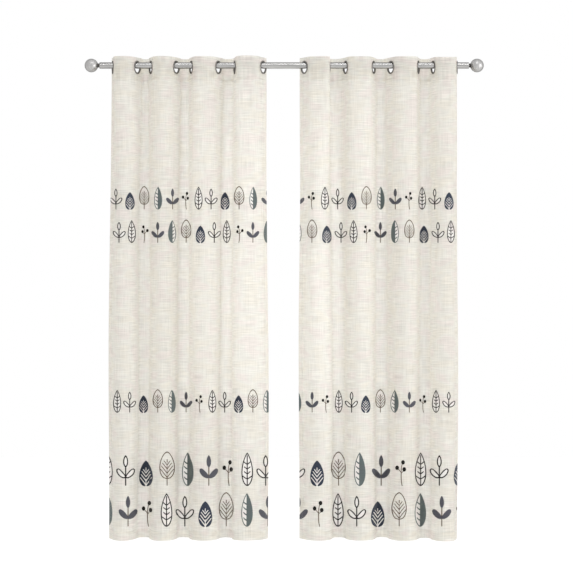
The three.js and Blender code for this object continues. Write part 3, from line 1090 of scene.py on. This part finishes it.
def polyester_thread():
    """Spun polyester sewing thread in the cloth's own cream: two plies twisted together, a
    little glossier than the cloth and shaded along its length."""
    material, tree = new_material("cream_polyester_thread")
    place = add_node(tree, "ShaderNodeTexCoord").outputs["Object"]
    plies = noise(tree, place, (900, 900, 900), 1)
    tinted = {0: srgb("#e9e5dc")[:3], 1: remap(tree, plies, 0.88, 1.04)}
    bumps = {"Height": plies, "Strength": 0.4, "Distance": 0.0001}
    spun = {
        "Base Color": output_of(tree, "ShaderNodeVectorMath", tinted, operation="MULTIPLY"),
        "Roughness": 0.6,
        "Sheen Weight": 0.2,
        "Normal": output_of(tree, "ShaderNodeBump", bumps),
    }
    surface = output_of(tree, "ShaderNodeBsdfPrincipled", spun)
    add_node(tree, "ShaderNodeOutputMaterial", {"Surface": surface})
    return material


thread = polyester_thread()
stitches_in_rows = stitch_rule()


def add_stitching(curtain, hung):
    """The seams of the heading, the bottom hem and both side hems, on the front and back."""
    heading_seam = HEADING_BOTTOM_Z + STITCH["inset"]
    hem_seam = CLOTH["hem_z"] + BOTTOM_HEM - STITCH["inset"]
    side_seam = SIDE_HEM - STITCH["inset"]
    end = STITCH["end"]
    across = np.linspace(end, CLOTH["flat_width"] - end, SEAM_POINTS_ACROSS)
    down = np.linspace(heading_seam - STITCH["pitch"], CLOTH["hem_z"] + end, SEAM_POINTS_DOWN)
    seams = [(across, np.full(len(across), z)) for z in (heading_seam, hem_seam)]
    for place in (side_seam, CLOTH["flat_width"] - side_seam):
        seams.append((np.full(len(down), place), down))

    points = []
    edges = []
    for place, z in seams:
        middle, normals = read_cloth(hung, place, z)
        behind = np.where(in_heading(z), HEADING_EXTRA, HEM_EXTRA)
        for away in (np.full(len(z), SHEET_HALF), -SHEET_HALF - behind):
            first = len(points)
            points += (middle + normals * away[:, None]).tolist()
            edges += [(i, i + 1) for i in range(first, len(points) - 1)]
    piece = add_piece(curtain["side"] + "_stitching", points, [], [])
    piece.data.edges.add(len(edges))
    piece.data.edges.foreach_set("vertices", np.ravel(edges))
    values = {
        "Pitch": STITCH["pitch"] * MM,
        "Stitch Length": STITCH["length"] * MM,
        "Thread Radius": STITCH["radius"] * MM,
        "Thread": thread,
    }
    follow_rule(piece, stitches_in_rows, values)
    return piece


# ------------------------ both curtains

for curtain in CURTAINS:
    side = curtain["side"]
    hung = hang(curtain)
    cloth = add_curtain(curtain, hung, cloth_materials)
    rings = add_rings(curtain)
    stitching = add_stitching(curtain, hung)
    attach(cloth, "root")
    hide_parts(side + "_panel", side + "_heading")
    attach(rings, "root")
    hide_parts(*[f"{side}_eyelet_{i + 1}" for i in range(CLOTH["eyelets"])])
    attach(stitching, "root")
bpy.data.objects.remove(one_ring)

# ------------------------ room and light

FLOOR_Z = -2300
# How much light is added to the floor where it is seen.
FLOOR_LIFT = 0.36


def seen_by(tree):
    """1 for the rays that show the room itself: the camera's, and those from metal or through
    clear parts. 0 for the rays that light other things."""
    path = add_node(tree, "ShaderNodeLightPath").outputs
    seen = path["Is Camera Ray"]
    for ray in ("Is Transmission Ray", "Is Glossy Ray"):
        seen = output_of(tree, "ShaderNodeMath", {0: seen, 1: path[ray]}, operation="MAXIMUM")
    return seen


def pale_floor():
    """A matt painted floor that reads white, and still takes the curtains' soft shadow."""
    material, tree = new_material("white_painted_floor")
    matt = {"Base Color": srgb("#dddddc"), "Roughness": 0.9}
    paint = output_of(tree, "ShaderNodeBsdfPrincipled", matt)
    lift = remap(tree, seen_by(tree), 0, FLOOR_LIFT)
    lifted = output_of(tree, "ShaderNodeEmission", {"Strength": lift})
    surface = output_of(tree, "ShaderNodeAddShader", {0: paint, 1: lifted})
    add_node(tree, "ShaderNodeOutputMaterial", {"Surface": surface})
    return material


half_floor = 7000
floor = add_piece(
    "floor",
    [(x * half_floor, y * half_floor, FLOOR_Z) for x, y in ((-1, -1), (1, -1), (1, 1), (-1, 1))],
    [[0, 1, 2, 3]],
    [pale_floor()],
)

# The studio is plain white where it is seen, straight or in the metal, and lights the curtains
# evenly from all sides.
EVEN_LIGHT = 0.935

world = bpy.data.worlds.new("white_studio")
world.use_nodes = True
bpy.context.scene.world = world
world_tree = world.node_tree
world_tree.nodes.clear()
strength = remap(world_tree, seen_by(world_tree), EVEN_LIGHT, 1)
plain = {"Color": srgb("#ffffff"), "Strength": strength}
background = output_of(world_tree, "ShaderNodeBackground", plain)
add_node(world_tree, "ShaderNodeOutputWorld", {"Surface": background})


def add_soft_lamp(name, place, target, width, height, watts):
    """A large soft box that shines from its place towards a target, and can't be seen itself."""
    lamp = bpy.data.objects.new(name, bpy.data.lights.new(name, "AREA"))
    lamp.data.shape = "RECTANGLE"
    lamp.data.size = width * MM
    lamp.data.size_y = height * MM
    lamp.data.energy = watts
    lamp.visible_camera = False
    place = np.array(place, float) * MM
    away = place - np.array(target, float) * MM
    flat_length = math.hypot(away[0], away[1])
    lamp.location = place
    lamp.rotation_euler = (
        math.atan2(flat_length, away[2]),
        0,
        math.atan2(away[1], away[0]) + math.pi / 2,
    )
    bpy.context.collection.objects.link(lamp)


add_soft_lamp("key_soft_box", (7200, -4200, -200), (0, 0, -900), 2800, 2800, 215)
# A long box, high in front, draws a thin bright line along the rod.
add_soft_lamp("strip_soft_box", (750, -5300, 5800), (0, 0, -900), 4500, 900, 100)
# Daylight from behind, the size of a window.
add_soft_lamp("window_light", (-36, 300, -884), (-36, 0, -884), 760, 1330, 1.2)

bpy.context.scene.view_settings.view_transform = "Standard"
